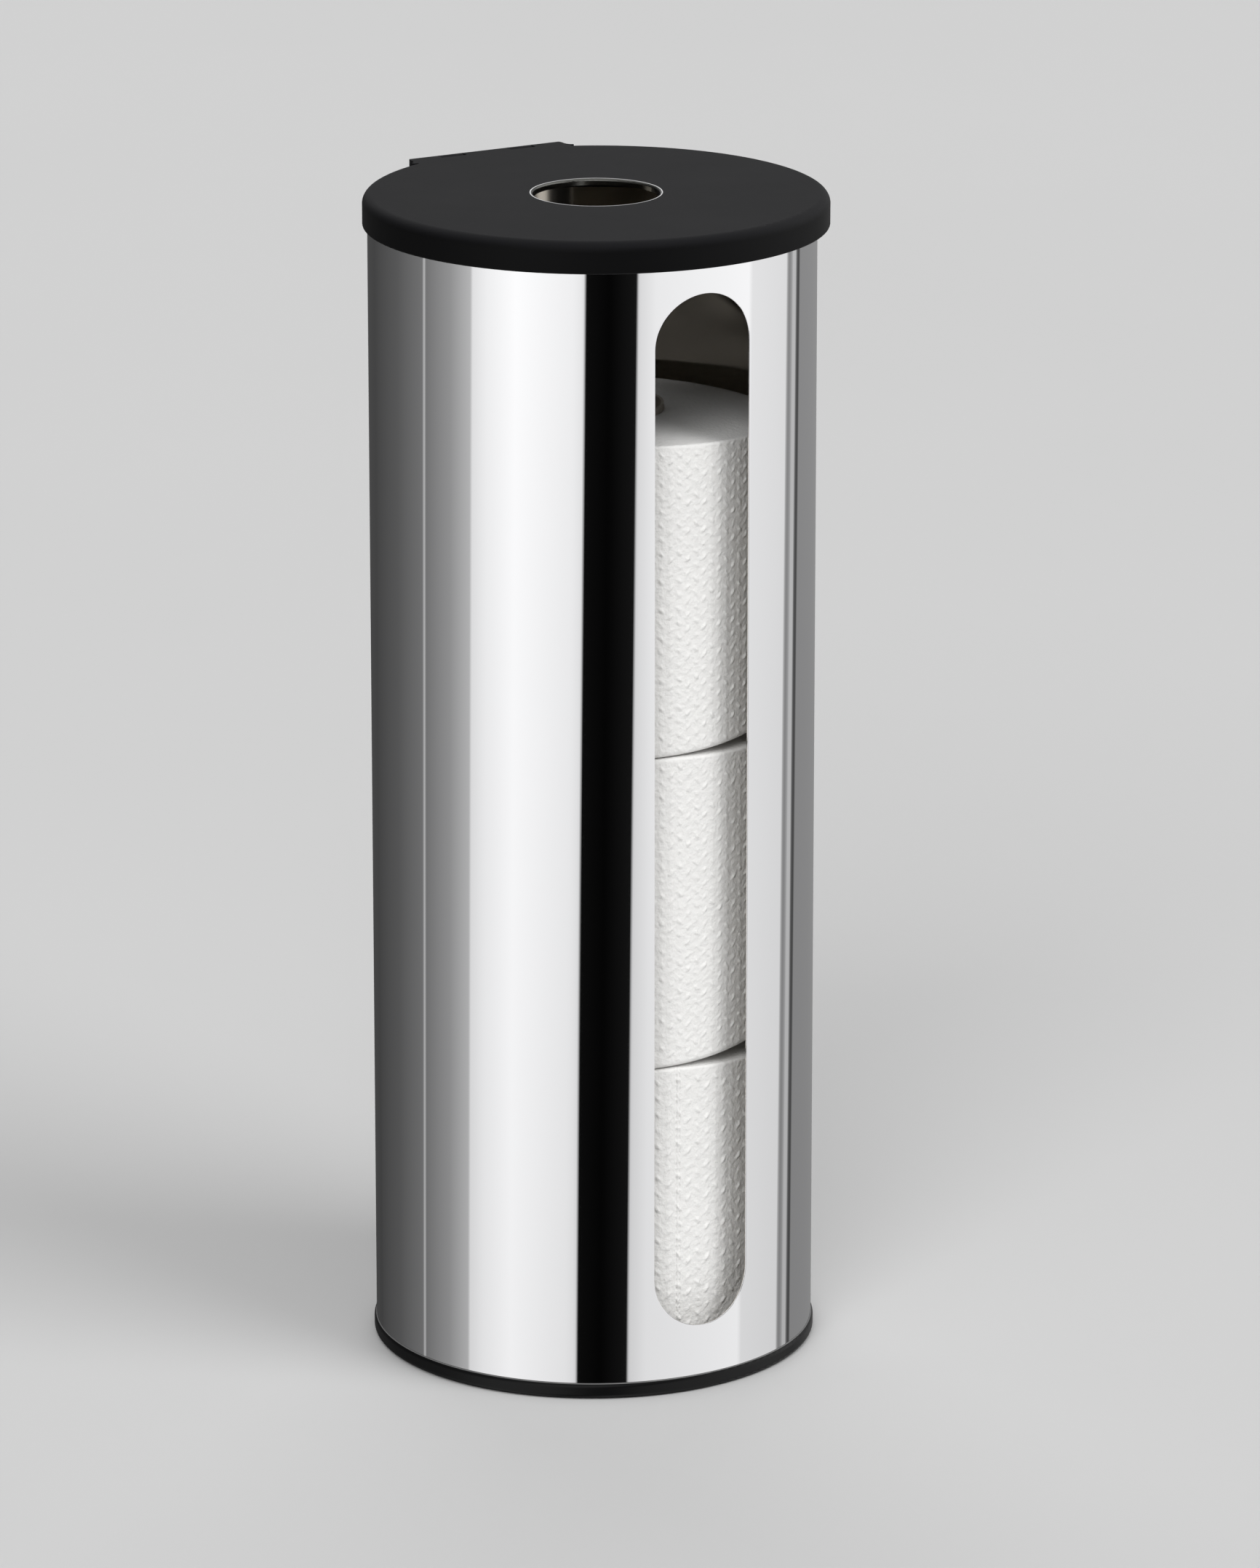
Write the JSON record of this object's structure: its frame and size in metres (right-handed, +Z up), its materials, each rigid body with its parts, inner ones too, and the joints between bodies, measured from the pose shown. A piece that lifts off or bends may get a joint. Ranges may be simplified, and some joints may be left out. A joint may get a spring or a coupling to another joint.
{
  "type": "toilet roll storage holder",
  "caption": "Wall-hung round steel tube that stores a stack of spare toilet rolls, with a full-length front slot, a hinged plastic lid with a round hole, and a plastic base cap.",
  "frame": {"origin": "on the wall plane, midway between the two wall screw holes", "axes": "+Y points into the wall, +Z up along the tube, +X to the right as seen from the front; the slot faces -Y"},
  "size_m": [0.1402, 0.1445, 0.36],
  "materials": {
    "polished_steel": "mirror-polished stainless steel",
    "black_plastic": "fine matte moulded",
    "plain_steel": "bright zinc",
    "tissue_paper": "soft embossed paper",
    "cardboard": "plain grey-brown card"
  },
  "bodies": {
    "holder": {"tube": "polished_steel", "base_cap": "black_plastic", "wall_bracket": "black_plastic", "wall_spacer": "black_plastic", "fixing_screws": "plain_steel"},
    "lid": {"lid": "black_plastic", "hinge_pin": "plain_steel"},
    "roll_bottom": {"roll_paper_bottom": "tissue_paper", "roll_core_bottom": "cardboard"},
    "roll_middle": {"roll_paper_middle": "tissue_paper", "roll_core_middle": "cardboard"},
    "roll_top": {"roll_paper_top": "tissue_paper", "roll_core_top": "cardboard"}
  },
  "joints": [
    {"name": "lid_hinge", "type": "hinge", "parent": "holder", "child": "lid", "pos_m": [0, -0.00535, 0.1618], "axis": [-1, 0, 0], "range_deg": [0, 91]},
    {"name": "roll_bottom_lift", "type": "slide", "parent": "holder", "child": "roll_bottom", "axis": [0, 0, 1], "range_m": [0, 0.02]},
    {"name": "roll_middle_lift", "type": "slide", "parent": "roll_bottom", "child": "roll_middle", "axis": [0, 0, 1], "range_m": [0, 0.02]},
    {"name": "roll_top_lift", "type": "slide", "parent": "roll_middle", "child": "roll_top", "axis": [0, 0, 1], "range_m": [0, 0.02]}
  ]
}
